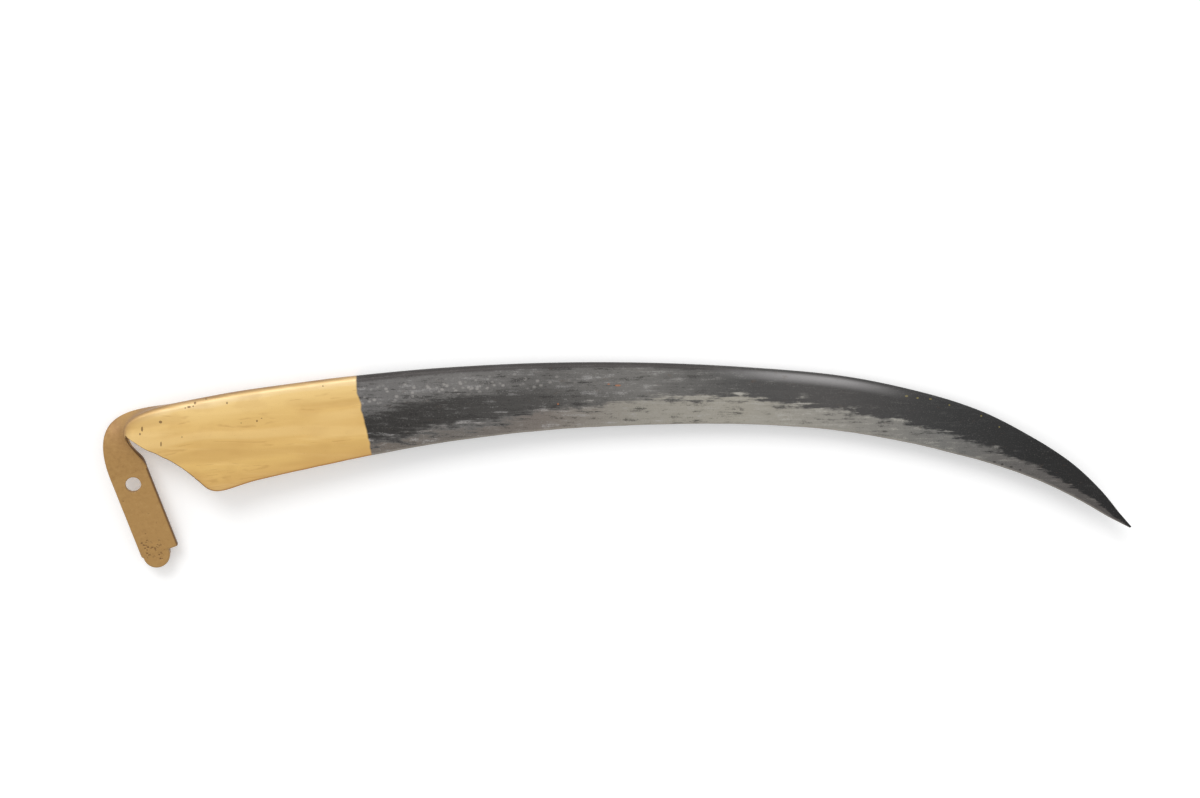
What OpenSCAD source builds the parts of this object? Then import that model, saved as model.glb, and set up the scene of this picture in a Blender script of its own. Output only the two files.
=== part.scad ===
// Scythe blade for mowing, one forging with its tang, lying with its underside up.
// Lengths are millimetres. The blade is drawn with its web level, x from the heel to the point,
// y from the cutting edge to the back and z up through the underside. place() then lays it down
// on its knob and the free edge of its rib. The origin is on the axis of the tang's bore,
// where the bore opens in the face that seats on the handle.

/* [Blade] */
// Reach of the blade along x, from the heel end of the rib to the point
blade_reach = 646.5; // [560:0.5:760]
// Width of the web at the beard
blade_w = 63; // [50:0.5:75]
// Rise of the back's arc over the heel end of the rib
back_bow = 27; // [20:0.5:34]
// Thickness of the web beside the rib
web_t = 1.4; // [1:0.1:2]
// Thickness of the web where the hammered edge band starts
band_t = 0.9; // [0.6:0.05:1.2]
// Thickness left at the cutting edge
edge_t = 0.35; // [0.2:0.05:0.6]
// Thickness of the heel's bare end
heel_end_t = 1.2; // [0.8:0.1:1.8]
// Width of the hammered edge band
band_w = 4; // [2.5:0.5:6]
// Fall of the underside from the rib to the cutting edge
crown = 0.8; // [0:0.1:2]
// Fall of the point below the heel along the blade
spring = 6; // [0:0.5:12]
// Thickness of the tip of the point
tip_t = 1.4; // [1:0.1:2.5]

/* [Rib] */
// Height of the rib at the heel
rib_h = 13; // [10:0.5:16]
// Height of the rib at the point
rib_tip_h = 4.6; // [4:0.1:6]
// Thickness of the rib at the heel
rib_t = 4.5; // [3:0.1:6]
// Thickness of the rib at the point
rib_tip_t = 2; // [1.5:0.1:3]
// Radius of the bend between the rib and the web at the heel
bend_r = 5; // [3:0.5:7]
// Radius of the bend at the point
bend_tip_r = 1.6; // [1:0.1:2.4]
// Width of web that belongs to the rib's section, from the rib's outer face
stub_w = 8.5; // [7.5:0.5:11]

/* [Tang] */
// Width of the tang
tang_w = 26.5; // [23:0.5:30]
// Thickness of the tang
tang_t = 5; // [4:0.1:6]
// Straight length of the tang from the bore to the neck
bore_to_neck = 8; // [7.5:0.5:14]
// Straight length of the tang from the bore to its end
bore_to_end = 51; // [40:0.5:70]
// Diameter of the bore
bore_d = 10.5; // [6:0.1:13]
// Rounding of the edges of tang, neck and rib
edge_round = 1.1; // [0.6:0.1:1.6]
// Angle of the tang in plan, from square to the blade
tang_turn = 19.8; // [10:0.1:30]
// Angle by which the tang dips below the web
tang_dip = 14; // [8:0.5:20]
// Height of the underside over the bore's mouth in the seat face
web_lift = 14; // [12:0.5:18]

/* [Knob] */
// Diameter of the round knob
knob_d = 18.4; // [14:0.2:20]
// Distance of the knob from the line of the tang's outer edge
knob_inset = 1; // [0.2:0.1:3]
// Distance of the knob's middle past the tang's end
knob_past_end = 1; // [0:0.5:4]
// Height of the knob over the seat face
knob_h = 8; // [5:0.5:12]
// Rounding of the knob's ends
knob_round = 1.4; // [0.6:0.1:2]

/* [Neck] */
// Distance along x from the bore to the heel end of the rib
heel_out = 33.5; // [28:0.5:45]
// Distance along y from the bore to the heel end of the rib
heel_up = 55.5; // [50:0.5:65]
// Pull of the tang on the neck's outer line
outer_pull_tang = 60; // [50:0.5:66]
// Pull of the rib on the neck's outer line
outer_pull_rib = 25; // [20:0.5:32]
// Pull of the tang on the neck's inner line
inner_pull_tang = 11.5; // [9:0.5:20]
// Pull of the rib on the neck's inner line
inner_pull_rib = 68; // [60:0.5:74]
// Sag of the neck's outer line on its way from the tang to the rib
outer_sag = 5; // [1:0.5:6]
// Thickness that the neck's inner side has over that of the tang, at the crotch
neck_swell = 2.5; // [0:0.1:4]
// Lean of the neck's inner side at the crotch, out from under the heel
neck_flare = 3.5; // [0:0.1:5]

/* [Hidden] */

lacquer = [0.84, 0.70, 0.42];
shaded_lacquer = [0.66, 0.50, 0.30];
dark_steel = [0.28, 0.28, 0.29];
ground_steel = [0.50, 0.50, 0.50];

// The station k runs along the whole forging: the tang's end of the neck, the corner where the
// web's heel end leaves the neck, the heel end of the rib, the line where the lacquer stops,
// the start of the point, the start of its last taper and the tip.
k_tang = -8;
k_corner = -4;
k_rib = 0;
k_lacquer = 4;
k_point = 13;
k_cone = 15;
k_tip = 16;
// First section of the web, place where its bare heel end runs out into the edge, and the two
// places of the rib's free edge that carry the part when it is laid down.
k_web_start = -3.8;
k_beard = 0.5;
k_rest_heel = 6.5;
k_rest_point = 6.75;

// Rows from station 0 on: place along the reach, rise of the back over its heel end in percent
// of the bow, lean of the section towards the point in percent of the reach, and width of the
// blade in percent of its width at the beard.
SHAPE = [
    [0, 0.5, 1.6, 83.5],
    [2.1, 10.5, 1.7, 101],
    [6.3, 28.5, 1.9, 96.5],
    [12.6, 49.5, 1.9, 91],
    [18.4, 66.5, 1.8, 86],
    [27.3, 86, 1.5, 79],
    [37.8, 98.5, 1, 72.5],
    [48.3, 99.5, 0.4, 67.5],
    [58.8, 89, -0.2, 62],
    [69.3, 67, -1.2, 58.5],
    [77.8, 26, -2.1, 53.5],
    [84.1, -21.5, -2.6, 47],
    [89.3, -84, -3, 34],
    [93.6, -150, -2.8, 23],
    [96.7, -218, -1.9, 14],
    [98.8, -279, -1, 5.5],
    [100, -317, 0, 0]
];

// Rows for the web's heel end, from the corner towards station 0: share of the way along the
// straight line between the two, and how far the end is cut in from that line.
HEEL_END = [[0, 0], [0.27, -1], [0.5, 0.7], [0.75, 1.3], [1, 0]];

// Points along the bend, the flat faces and the web in one section
BEND_STEPS = 6;
FACE_STEPS = 4;
WEB_STEPS = 7;
// Web that the neck carries where the heel end leaves it, and size of the blunt tip against the
// section where the point's last taper starts
corner_gap = 0.6;
tip_share = 0.2;
UP = [0, 0, 1];

function clamp01(t) = min(1, max(0, t));
function ease(t) = clamp01(t) * clamp01(t) * (3 - 2 * clamp01(t));
function mix(a, b, t) = a + (b - a) * t;
function unit(v) = v / norm(v);
function flat(v) = [v[0], v[1], 0];
function quarter_turn(v) = [v[1], -v[0], 0];

function row(table, i) =
    i < 0 ? 2 * table[0] - table[1]
    : i > len(table) - 1 ? 2 * table[len(table) - 1] - table[len(table) - 2]
    : table[i];

// Smooth curve through the rows of a table
function curve(table, k) =
    let (i = min(floor(k), len(table) - 2), t = k - i)
    let (a = row(table, i - 1), b = row(table, i), c = row(table, i + 1), d = row(table, i + 2))
    b + (c - a) * t / 2 + (a - 2.5 * b + 2 * c - d / 2) * t * t
    + (3 * b - 3 * c + d - a) * t * t * t / 2;

function bezier(p, t) =
    p[0] * pow(1 - t, 3) + 3 * p[1] * t * pow(1 - t, 2) + 3 * p[2] * t * t * (1 - t) + p[3] * pow(t, 3);

// Place of a point of the tang's own frame: x across it, y up to the neck, z out of its face
function turned_z(v, a) = [v[0] * cos(a) - v[1] * sin(a), v[0] * sin(a) + v[1] * cos(a), v[2]];
function turned_x(v, a) = [v[0], v[1] * cos(a) - v[2] * sin(a), v[1] * sin(a) + v[2] * cos(a)];
function on_tang(v) = turned_z(turned_x(v, tang_dip), tang_turn);

// Back line of the blade in plan, with the underside's height along it
function along(k) = clamp01(curve(SHAPE, k)[0] / 100);
function blade_back(k) =
    let (s = curve(SHAPE, k))
    [heel_out + s[0] * blade_reach / 100, heel_up + s[1] * back_bow / 100, web_lift - spring * pow(s[0] / 100, 2)];
function blade_edge(k) =
    let (s = curve(SHAPE, k))
    blade_back(k) + [s[2] * blade_reach / 100, -s[3] * blade_w / 100, 0];
function back_direction(k) = unit(flat(blade_back(k + 0.01) - blade_back(k - 0.01)));

function blade_width(k) = norm(blade_edge(k) - blade_back(k));

function rib_height(k) = mix(rib_h, rib_tip_h, along(k));
function rib_thick(k) = min(mix(rib_t, rib_tip_t, along(k)), 0.35 * blade_width(k));

// Neck: its outer line runs from the tang's far edge to the rib's free edge, and its inner line
// from the tang's near edge to the corner between rib and web. Both leave the tang along it.
TANG_UP = on_tang([0, 1, 0]);
OUTER_START = on_tang([-tang_w / 2, bore_to_neck, tang_t]);
INNER_START = on_tang([tang_w / 2, bore_to_neck, tang_t]);
HEEL_BACK = blade_back(0);
HEEL_DIR = back_direction(0);

function neck_line(start, pull_tang, pull_rib) =
    [start, start + TANG_UP * pull_tang, HEEL_BACK - HEEL_DIR * pull_rib, HEEL_BACK];
OUTER_LINE = neck_line(OUTER_START, outer_pull_tang, outer_pull_rib);
INNER_LINE = neck_line(INNER_START, inner_pull_tang, inner_pull_rib);

function neck_part(k) = (k - k_tang) / (k_rib - k_tang);
// Height that leaves one level on a slope and levels out at another, for s from 0 to 1
function climb(low, high, slope, s) = mix(low, high, s * s * (3 - 2 * s)) + slope * s * (1 - s) * (1 - s);
function outer_height(t) =
    climb(OUTER_START[2], web_lift - rib_h, 3 * outer_pull_tang * sin(tang_dip), clamp01(t))
    - outer_sag * 16 * pow(t * (1 - t), 2);
function inner_height(t) =
    let (share = neck_part(k_corner))
    climb(INNER_START[2], web_lift, 3 * inner_pull_tang * sin(tang_dip) * share, clamp01(t / share));
function neck_outer(t) = let (p = bezier(OUTER_LINE, t)) [p[0], p[1], outer_height(t)];
function neck_inner(t) = let (p = bezier(INNER_LINE, t)) [p[0], p[1], inner_height(t)];

function outer_point(k) = k < k_rib ? neck_outer(neck_part(k)) : blade_back(k) - UP * rib_height(k);
function inner_point(k) = k < k_rib ? neck_inner(neck_part(k)) : blade_back(k);
function path_direction(k) =
    let (t = neck_part(k), e = 0.002)
    k == k_tang ? TANG_UP
    : k < k_rib ? unit(neck_outer(t + e) + neck_inner(t + e) - neck_outer(t - e) - neck_inner(t - e))
    : back_direction(k);
function face_direction(k) = unit(inner_point(k) - outer_point(k));
function face_normal(k) = unit(cross(face_direction(k), path_direction(k)));
// Direction in plan from the rib into the web
function web_direction(k) =
    let (t = neck_part(k), e = 0.002)
    k < k_rib ? unit(quarter_turn(bezier(INNER_LINE, t + e) - bezier(INNER_LINE, t - e)))
    : quarter_turn(back_direction(k));

function bar_thick(k) = k < k_rib ? mix(tang_t, rib_t, ease(neck_part(k))) : rib_thick(k);
// Share of the crotch's swell and flare: none at the tang and at the rib
function crotch(k) =
    let (t = neck_part(k))
    k < k_rib ? ease(t / 0.3) * (1 - ease(2 * t - 1)) : 0;
function root_thick(k) = bar_thick(k) + neck_swell * crotch(k);
function on_web(k) = k >= k_corner;
function web_share(k) = ease((k - k_corner) / (k_rib - k_corner));
function corner_r(k) = k < k_rib ? mix(edge_round, bend_r, web_share(k)) : mix(bend_r, bend_tip_r, along(k));
function rounding(k) = k < k_rib ? edge_round : min(edge_round, 0.15 * blade_width(k), 0.2 * rib_height(k));
function stub(k) =
    k < k_rib ? mix(corner_gap, stub_w, web_share(k))
    : min(mix(stub_w, stub_w / 2, along(k)), 0.6 * blade_width(k));

// Section of the bar that makes the neck and the rib, as a closed ring of points
function bar_wall(k, run) =
    let (n = face_normal(k), f = face_direction(k), t = root_thick(k))
    inner_point(k) - n * min(run, t) + f * (neck_flare * crotch(k) * min(run / t, 1) - max(run - t, 0));
function bend(f, q, c, r) =
    let (turn = acos(min(1, f * q)), start = c - f * r * tan(turn / 2), side = unit(q - f * (q * f)))
    [for (i = [0:BEND_STEPS])
        let (a = turn * i / BEND_STEPS)
        start + (f * sin(a) + side * (1 - cos(a))) * r];
function free_edge(k) =
    let (a = outer_point(k), n = face_normal(k), f = face_direction(k), r = rounding(k))
    let (b = a - n * bar_thick(k), cut = 1 - sqrt(0.5))
    [b + f * r, b + (f + n) * r * cut, b + n * r, a - n * r, a + (f - n) * r * cut, a + f * r];
// Points from the section's end on the web's underside to the foot of the bar's inner face
function bar_throat(k) =
    let (c = inner_point(k), n = face_normal(k), t = root_thick(k), r = rounding(k), q = web_direction(k))
    let (depth = n[2] * t, foot = web_t < depth ? web_t / n[2] : t + (web_t - depth) / face_direction(k)[2])
    let (near = c + q * stub(k), root = bar_wall(k, foot) + q * r)
    on_web(k)
    ? [near, near - UP * web_t, [root[0], root[1], near[2] - web_t],
        bar_wall(k, max(foot + r, t - r)), bar_wall(k, max(foot + r * 1.3, t + r))]
    : [for (run = [0.35 * t, 0.5 * t, 0.65 * t, t - r, t + r]) bar_wall(k, run)];
function bar_outside(k) =
    let (edge = free_edge(k), q = on_web(k) ? web_direction(k) : -face_normal(k))
    let (arc = bend(face_direction(k), q, inner_point(k), corner_r(k)))
    concat(edge, between(edge[5], arc[0], FACE_STEPS), arc);
function bar_section(k) =
    let (throat = bar_throat(k), edge = free_edge(k))
    concat(bar_outside(k), throat, between(throat[4], edge[0], FACE_STEPS));

// Web: its lower line is its own heel end up to station 0, and the cutting edge after that
CORNER = seam(k_corner);
function heel_end(k) =
    let (s = curve(HEEL_END, k - k_corner), run = flat(blade_edge(0) - CORNER))
    [CORNER[0], CORNER[1], web_lift] + run * s[0] - quarter_turn(unit(run)) * s[1];
function low_line(k) = k < k_rib ? heel_end(k) : blade_edge(k);
function seam(k) = inner_point(k) + web_direction(k) * stub(k);
function web_width(k) = norm(flat(low_line(k) - seam(k)));
function band_share(k) = 1 - min(0.5, band_w / web_width(k));
function heel_share(k) = 1 - ease(k - k_beard);
function band_thick(k) = mix(band_t, heel_end_t, heel_share(k));
function edge_thick(k) = mix(edge_t, heel_end_t, heel_share(k));
// Underside of the web at a share of its width
function underside(k, s) =
    mix(seam(k), low_line(k), s) - UP * crown * pow(s * web_width(k) / blade_w, 2);
function web_near(k) = [for (i = [0:WEB_STEPS]) underside(k, band_share(k) * i / WEB_STEPS)];
function web_far(k) =
    [for (i = [WEB_STEPS:-1:0])
        underside(k, band_share(k) * i / WEB_STEPS) - UP * mix(web_t, band_thick(k), i / WEB_STEPS)];
function edge_line(k) = let (p = underside(k, 1)) [p, p - UP * edge_thick(k)];
function web_section(k) = concat(web_near(k), web_far(k));
function band_section(k) =
    let (p = underside(k, band_share(k)))
    concat([p], edge_line(k), [p - UP * band_thick(k)]);
function heel_section(k) = concat(web_near(k), edge_line(k), web_far(k));
// Rib, web and edge band in one ring, for the point
function whole_section(k) =
    let (throat = bar_throat(k), edge = free_edge(k))
    concat(bar_outside(k), heel_section(k), [throat[2], throat[3], throat[4]],
        between(throat[4], edge[0], FACE_STEPS));

function between(a, b, steps) = [for (i = [1:steps - 1]) mix(a, b, i / steps)];
function steps(from, to, count) = [for (i = [0:count]) mix(from, to, i / count)];
function sum(list, i = 0) = i < len(list) - 1 ? list[i] + sum(list, i + 1) : list[i];

// Solid through rings that have as many points each. A cap fans out from its own inner point.
module loft(rings, first, last) {
    n = len(rings[0]);
    rows = len(rings);
    points = concat([for (ring = rings) each ring], [first, last]);
    sides = [for (r = [0:rows - 2], i = [0:n - 1])
        let (j = (i + 1) % n, a = r * n, b = (r + 1) * n)
        each [[a + i, b + j, a + j], [a + i, b + i, b + j]]];
    caps = [for (i = [0:n - 1])
        let (j = (i + 1) % n, b = (rows - 1) * n)
        each [[rows * n, i, j], [rows * n + 1, b + j, b + i]]];
    polyhedron(points, concat(sides, caps));
}
// Point inside the bar's section from which all of its ring is in sight
function bar_middle(k) =
    on_web(k) ? inner_point(k) + web_direction(k) * bar_thick(k) / 2 - UP * web_t * 0.85
    : (inner_point(k) + outer_point(k) - face_normal(k) * bar_thick(k)) / 2;
module bar(stations) {
    loft([for (k = stations) bar_section(k)], bar_middle(stations[0]), bar_middle(stations[len(stations) - 1]));
}
function web_middle(section) = sum(section) / len(section);
module sheet(sections) {
    loft(sections, web_middle(sections[0]), web_middle(sections[len(sections) - 1]));
}

// Laid down, the part stands on the knob's far rim and on the crest of the rib's free edge
KNOB_PLACE = [-tang_w / 2 + knob_inset + knob_d / 2, -bore_to_end - knob_past_end, 0];
KNOB_FOOT = on_tang(KNOB_PLACE + [0, -knob_d / 2 + knob_round, -knob_h]);
REST_HEEL = outer_point(k_rest_heel);
REST_POINT = outer_point(k_rest_point);
REST_UP = unit(cross(REST_POINT - KNOB_FOOT, REST_HEEL - KNOB_FOOT));
module place() {
    rotate(a = acos(REST_UP[2]), v = cross(REST_UP, UP)) children();
}

module on_tang_place() {
    rotate([0, 0, tang_turn]) rotate([tang_dip, 0, 0]) children();
}

module tang() {
    color(shaded_lacquer) place() on_tang_place() difference() {
        union() {
            tang_bar();
            translate(KNOB_PLACE) round_disc(tang_t);
        }
        translate([0, 0, -1]) cylinder(d = bore_d, h = tang_t + 2);
    }
}
// The tang's outline across is the one that the neck starts with
module tang_bar() {
    across = on_tang([1, 0, 0]);
    out = on_tang(UP);
    translate([0, bore_to_neck, 0]) rotate([90, 0, 0]) linear_extrude(bore_to_end + bore_to_neck)
        polygon([for (p = bar_section(k_tang)) [p * across, p * out]]);
}
// Round disc from the seat face up, with the far edge rounded over
module round_disc(h) {
    r = knob_d / 2 - knob_round;
    rotate_extrude() polygon(concat(
        [[0, 0], [knob_d / 2, 0]],
        [for (a = [0:15:90]) [r + knob_round * cos(a), h - knob_round * (1 - sin(a))]],
        [[0, h]]));
}
module tang_knob() {
    color(shaded_lacquer) place() on_tang_place() translate(KNOB_PLACE) mirror([0, 0, 1]) round_disc(knob_h);
}
module neck() {
    color(shaded_lacquer) place() bar(steps(k_tang, k_rib, 40));
}
module heel() {
    color(lacquer) place()
        sheet([for (k = steps(k_web_start, k_lacquer, 39)) heel_section(k)]);
}
module heel_rib() {
    color(lacquer) place() bar(steps(k_rib, k_lacquer, 20));
}
module blade_web() {
    color(dark_steel) place() sheet([for (k = steps(k_lacquer, k_point, 36)) web_section(k)]);
}
module back_rib() {
    color(dark_steel) place() bar(steps(k_lacquer, k_point, 36));
}
module edge_band() {
    color(ground_steel) place() sheet([for (k = steps(k_lacquer, k_point, 36)) band_section(k)]);
}
module point() {
    rings = [for (k = steps(k_point, k_cone, 8)) whole_section(k)];
    last = rings[len(rings) - 1];
    centre = sum(last) / len(last);
    top = blade_back(k_tip) - UP * tip_t / 2;
    blunt = [for (p = last) top + (p - centre) * tip_share];
    color(dark_steel) place()
        loft(concat(rings, [blunt]), bar_middle(k_point), top + (bar_middle(k_cone) - centre) * tip_share);
}

tang();
tang_knob();
neck();
heel();
heel_rib();
blade_web();
back_rib();
edge_band();
point();
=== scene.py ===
# Visual model of a mowing scythe blade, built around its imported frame.
# Shapes are worked out in millimetres in the blade's own frame, with the web level, x to the
# point, y to the back and z up through the underside. in_row() takes them to the part's frame.
import math

import bmesh
import bpy
import numpy as np
from mathutils import Matrix, Vector


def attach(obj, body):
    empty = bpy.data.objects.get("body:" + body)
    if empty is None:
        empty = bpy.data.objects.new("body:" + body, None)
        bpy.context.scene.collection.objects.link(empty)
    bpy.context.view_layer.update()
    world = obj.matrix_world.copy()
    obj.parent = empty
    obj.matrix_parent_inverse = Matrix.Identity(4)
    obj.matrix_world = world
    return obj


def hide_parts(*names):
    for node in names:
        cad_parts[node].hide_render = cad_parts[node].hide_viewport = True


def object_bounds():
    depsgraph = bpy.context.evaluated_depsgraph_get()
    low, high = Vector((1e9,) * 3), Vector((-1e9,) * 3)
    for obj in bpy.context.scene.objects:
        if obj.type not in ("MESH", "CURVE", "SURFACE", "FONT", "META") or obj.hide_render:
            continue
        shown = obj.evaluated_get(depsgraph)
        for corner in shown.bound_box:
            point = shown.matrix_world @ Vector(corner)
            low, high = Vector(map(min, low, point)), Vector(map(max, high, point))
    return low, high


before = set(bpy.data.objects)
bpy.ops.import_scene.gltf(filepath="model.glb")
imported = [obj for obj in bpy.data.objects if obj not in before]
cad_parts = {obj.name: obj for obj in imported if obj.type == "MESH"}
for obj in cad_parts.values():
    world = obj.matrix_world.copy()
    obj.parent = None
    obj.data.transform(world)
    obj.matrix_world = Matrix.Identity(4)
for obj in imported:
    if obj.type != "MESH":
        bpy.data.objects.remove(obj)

cad_low, cad_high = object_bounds()

# Sizes, as in the part's source
blade_reach = 646.5
blade_w = 63.0
back_bow = 27.0
web_t = 1.4
band_t = 0.9
edge_t = 0.35
heel_end_t = 1.2
band_w = 4.0
crown = 0.8
spring = 6.0
tip_t = 1.4
rib_h = 13.0
rib_tip_h = 4.6
rib_t = 4.5
rib_tip_t = 2.0
bend_r = 5.0
bend_tip_r = 1.6
stub_w = 8.5
tang_w = 26.5
tang_t = 5.0
bore_to_neck = 8.0
bore_to_end = 51.0
bore_d = 10.5
edge_round = 1.1
tang_turn = 19.8
tang_dip = 14.0
web_lift = 14.0
knob_d = 18.4
knob_inset = 1.0
knob_past_end = 1.0
knob_h = 8.0
knob_round = 1.4
heel_out = 33.5
heel_up = 55.5
outer_pull_tang = 60.0
outer_pull_rib = 25.0
inner_pull_tang = 11.5
inner_pull_rib = 68.0
outer_sag = 5.0
neck_swell = 2.5
neck_flare = 3.5

# Stations along the forging, as in the part's source
k_tang = -8.0
k_corner = -4.0
k_rib = 0.0
k_lacquer = 4.0
k_point = 13.0
k_cone = 15.0
k_tip = 16.0
k_web_start = -3.8
k_beard = 0.5
k_rest_heel = 6.5
k_rest_point = 6.75
corner_gap = 0.6
tip_share = 0.2

SHAPE = np.array([
    [0, 0.5, 1.6, 83.5],
    [2.1, 10.5, 1.7, 101],
    [6.3, 28.5, 1.9, 96.5],
    [12.6, 49.5, 1.9, 91],
    [18.4, 66.5, 1.8, 86],
    [27.3, 86, 1.5, 79],
    [37.8, 98.5, 1, 72.5],
    [48.3, 99.5, 0.4, 67.5],
    [58.8, 89, -0.2, 62],
    [69.3, 67, -1.2, 58.5],
    [77.8, 26, -2.1, 53.5],
    [84.1, -21.5, -2.6, 47],
    [89.3, -84, -3, 34],
    [93.6, -150, -2.8, 23],
    [96.7, -218, -1.9, 14],
    [98.8, -279, -1, 5.5],
    [100, -317, 0, 0],
])
HEEL_END = np.array([[0, 0], [0.27, -1], [0.5, 0.7], [0.75, 1.3], [1, 0]])

# How finely the forging is drawn: points round its small corners, along its faces, round the
# bend, along the rib's strip of web, round the inner fillet, across the web and across the band,
# and the distance from one section to the next
CORNER_STEPS = 4
FACE_STEPS = 9
BEND_STEPS = 10
STUB_STEPS = 5
FILLET_STEPS = 4
WEB_STEPS = 52
BAND_STEPS = 7
SECTION_GAP = 1.1
NET_GAP = 0.36
SHARP_ANGLE = 40

# Corners are drawn a little rounder than in the solids, so that they stay inside them
soft_round = 1.38
knob_soft_round = 1.7

# The drawn curves are finer than the solids' chords, so the back and the tip are drawn this far in
back_inset = 0.03
tip_inset = 0.35
UP = np.array([0.0, 0.0, 1.0])
MM = 0.001


def clamp01(t):
    return min(1.0, max(0.0, t))


def ease(t):
    t = clamp01(t)
    return t * t * (3 - 2 * t)


def mix(a, b, t):
    return a + (b - a) * t


def unit(v):
    return v / np.linalg.norm(v)


def flat(v):
    return np.array([v[0], v[1], 0.0])


def quarter_turn(v):
    return np.array([v[1], -v[0], 0.0])


def row(table, i):
    if i < 0:
        return 2 * table[0] - table[1]
    if i > len(table) - 1:
        return 2 * table[-1] - table[-2]
    return table[i]


def curve(table, k):
    """Smooth curve through the rows of a table."""
    i = min(math.floor(k), len(table) - 2)
    t = k - i
    a, b, c, d = row(table, i - 1), row(table, i), row(table, i + 1), row(table, i + 2)
    return (b + (c - a) * t / 2 + (a - 2.5 * b + 2 * c - d / 2) * t * t
            + (3 * b - 3 * c + d - a) * t * t * t / 2)


def bezier(p, t):
    return (p[0] * (1 - t) ** 3 + 3 * p[1] * t * (1 - t) ** 2
            + 3 * p[2] * t * t * (1 - t) + p[3] * t ** 3)


def turning(axis, degrees):
    """Rotation matrix about a unit axis."""
    x, y, z = axis
    skew = np.array([[0, -z, y], [z, 0, -x], [-y, x, 0]])
    a = math.radians(degrees)
    return np.eye(3) + math.sin(a) * skew + (1 - math.cos(a)) * skew @ skew


TANG_TURNING = turning((0, 0, 1), tang_turn) @ turning((1, 0, 0), tang_dip)


def on_tang(points):
    """Places in the blade's frame of points in the tang's own frame."""
    return np.asarray(points, float) @ TANG_TURNING.T


# Outline of the blade
def along(k):
    return clamp01(curve(SHAPE, k)[0] / 100)


def blade_back(k):
    s = curve(SHAPE, k)
    return np.array([
        heel_out + s[0] * blade_reach / 100,
        heel_up + s[1] * back_bow / 100 - back_inset,
        web_lift - spring * (s[0] / 100) ** 2,
    ])


def blade_edge(k):
    s = curve(SHAPE, k)
    return blade_back(k) + np.array([s[2] * blade_reach / 100, -s[3] * blade_w / 100, 0])


def back_direction(k):
    return unit(flat(blade_back(k + 0.01) - blade_back(k - 0.01)))


def blade_width(k):
    return np.linalg.norm(blade_edge(k) - blade_back(k))


def rib_height(k):
    return mix(rib_h, rib_tip_h, along(k))


# Lines of the neck
TANG_UP = on_tang([0, 1, 0])
OUTER_START = on_tang([-tang_w / 2, bore_to_neck, tang_t])
INNER_START = on_tang([tang_w / 2, bore_to_neck, tang_t])
HEEL_BACK = blade_back(0)
HEEL_DIR = back_direction(0)
OUTER_LINE = [OUTER_START, OUTER_START + TANG_UP * outer_pull_tang,
              HEEL_BACK - HEEL_DIR * outer_pull_rib, HEEL_BACK]
INNER_LINE = [INNER_START, INNER_START + TANG_UP * inner_pull_tang,
              HEEL_BACK - HEEL_DIR * inner_pull_rib, HEEL_BACK]
DIP_SLOPE = math.sin(math.radians(tang_dip))


def neck_part(k):
    return (k - k_tang) / (k_rib - k_tang)


def climb(low, high, slope, s):
    return mix(low, high, s * s * (3 - 2 * s)) + slope * s * (1 - s) ** 2


def outer_height(t):
    rise = climb(OUTER_START[2], web_lift - rib_h, 3 * outer_pull_tang * DIP_SLOPE, clamp01(t))
    return rise - outer_sag * 16 * (t * (1 - t)) ** 2


def inner_height(t):
    share = neck_part(k_corner)
    slope = 3 * inner_pull_tang * DIP_SLOPE * share
    return climb(INNER_START[2], web_lift, slope, clamp01(t / share))


def neck_outer(t):
    p = bezier(OUTER_LINE, t)
    return np.array([p[0], p[1], outer_height(t)])


def neck_inner(t):
    p = bezier(INNER_LINE, t)
    return np.array([p[0], p[1], inner_height(t)])


def outer_point(k):
    return neck_outer(neck_part(k)) if k < k_rib else blade_back(k) - UP * rib_height(k)


def inner_point(k):
    return neck_inner(neck_part(k)) if k < k_rib else blade_back(k)


def path_direction(k):
    t, e = neck_part(k), 0.002
    if k == k_tang:
        return TANG_UP
    if k < k_rib:
        return unit(neck_outer(t + e) + neck_inner(t + e) - neck_outer(t - e) - neck_inner(t - e))
    return back_direction(k)


def face_direction(k):
    return unit(inner_point(k) - outer_point(k))


def face_normal(k):
    return unit(np.cross(face_direction(k), path_direction(k)))


def web_direction(k):
    t, e = neck_part(k), 0.002
    if k < k_rib:
        return unit(quarter_turn(bezier(INNER_LINE, t + e) - bezier(INNER_LINE, t - e)))
    return quarter_turn(back_direction(k))


def on_web(k):
    return k >= k_corner


def web_share(k):
    return ease((k - k_corner) / (k_rib - k_corner))


def bar_thick(k):
    if k < k_rib:
        return mix(tang_t, rib_t, ease(neck_part(k)))
    return min(mix(rib_t, rib_tip_t, along(k)), 0.35 * blade_width(k))


def crotch(k):
    t = neck_part(k)
    return ease(t / 0.3) * (1 - ease(2 * t - 1)) if k < k_rib else 0.0


def root_thick(k):
    return bar_thick(k) + neck_swell * crotch(k)


def corner_r(k):
    return mix(soft_round, bend_r, web_share(k)) if k < k_rib else mix(bend_r, bend_tip_r, along(k))


def rounding(k):
    return edge_round if k < k_rib else min(edge_round, 0.15 * blade_width(k), 0.2 * rib_height(k))


def stub(k):
    if k < k_rib:
        return mix(corner_gap, stub_w, web_share(k))
    return min(mix(stub_w, stub_w / 2, along(k)), 0.6 * blade_width(k))


def bar_wall(k, run):
    """Point on the bar's inner side, run millimetres from its corner."""
    n, f, t = face_normal(k), face_direction(k), root_thick(k)
    lean = neck_flare * crotch(k) * min(run / t, 1) - max(run - t, 0)
    return inner_point(k) - n * min(run, t) + f * lean


# Smooth noise from fixed tables, from -1 to 1
def noise_table(seed):
    return np.random.RandomState(seed).uniform(-1, 1, (64, 64))


RIPPLES, WOBBLE, HAMMER, FAR_HAMMER, OUTLINE = (noise_table(seed) for seed in (3, 5, 8, 13, 21))


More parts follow.
